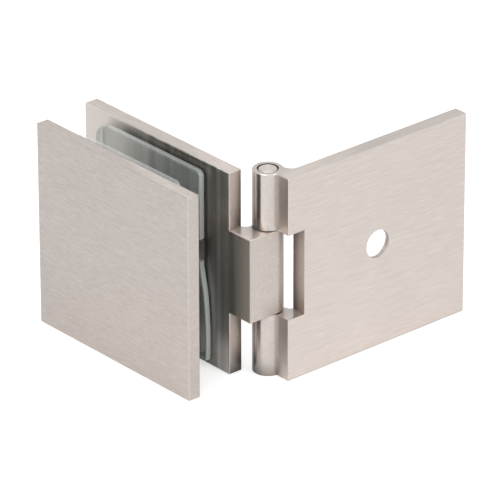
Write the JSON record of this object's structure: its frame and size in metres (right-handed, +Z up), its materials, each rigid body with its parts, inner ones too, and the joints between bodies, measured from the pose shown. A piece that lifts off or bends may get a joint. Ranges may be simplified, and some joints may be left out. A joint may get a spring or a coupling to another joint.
{
  "type": "glass clamp",
  "caption": "Square glass clamp hinged to a flat wall leaf: cover plate and hinge plate grip a pane between clear gaskets, drawn together by one countersunk screw.",
  "frame": {"origin": "centre of the fixing hole on the wall leaf's wall face", "axes": "+Z up along the hinge pin, +X out of the wall face into the wall, +Y along the wall leaf away from the pin; the clamp stands square to the wall leaf at rest"},
  "size_m": [0.0611, 0.0766, 0.05],
  "materials": {
    "brushed_plate": "satin, brushed along each plate",
    "pin_steel": "turned ends, satin",
    "screw_steel": "satin",
    "clear_gasket": "clear, slightly clouded"
  },
  "bodies": {
    "wall": {"wall_leaf": "brushed_plate", "hinge_pin": "pin_steel"},
    "clamp": {"hinge_plate": "brushed_plate", "hinge_gasket": "clear_gasket"},
    "screw": {"clamp_screw": "screw_steel"},
    "cover": {"cover_plate": "brushed_plate", "cover_gasket": "clear_gasket"}
  },
  "joints": [
    {"name": "hinge_turn", "type": "hinge", "parent": "wall", "child": "clamp", "pos_m": [-0.0075, -0.02625, 0], "axis": [0, 0, 1], "range_deg": [-98, 94]},
    {"name": "screw_turn", "type": "hinge", "parent": "clamp", "child": "screw", "pos_m": [-0.0334, -0.03095, 0], "axis": [0, 1, 0], "range_deg": [-811, 1621]},
    {"name": "cover_slide", "type": "slide", "parent": "clamp", "child": "cover", "axis": [0, -1, 0], "range_m": [-0.0018, 0.0036]}
  ],
  "couplings": [
    {"joint": "screw_turn", "follows": "cover_slide", "rad_per_m": 7854}
  ]
}
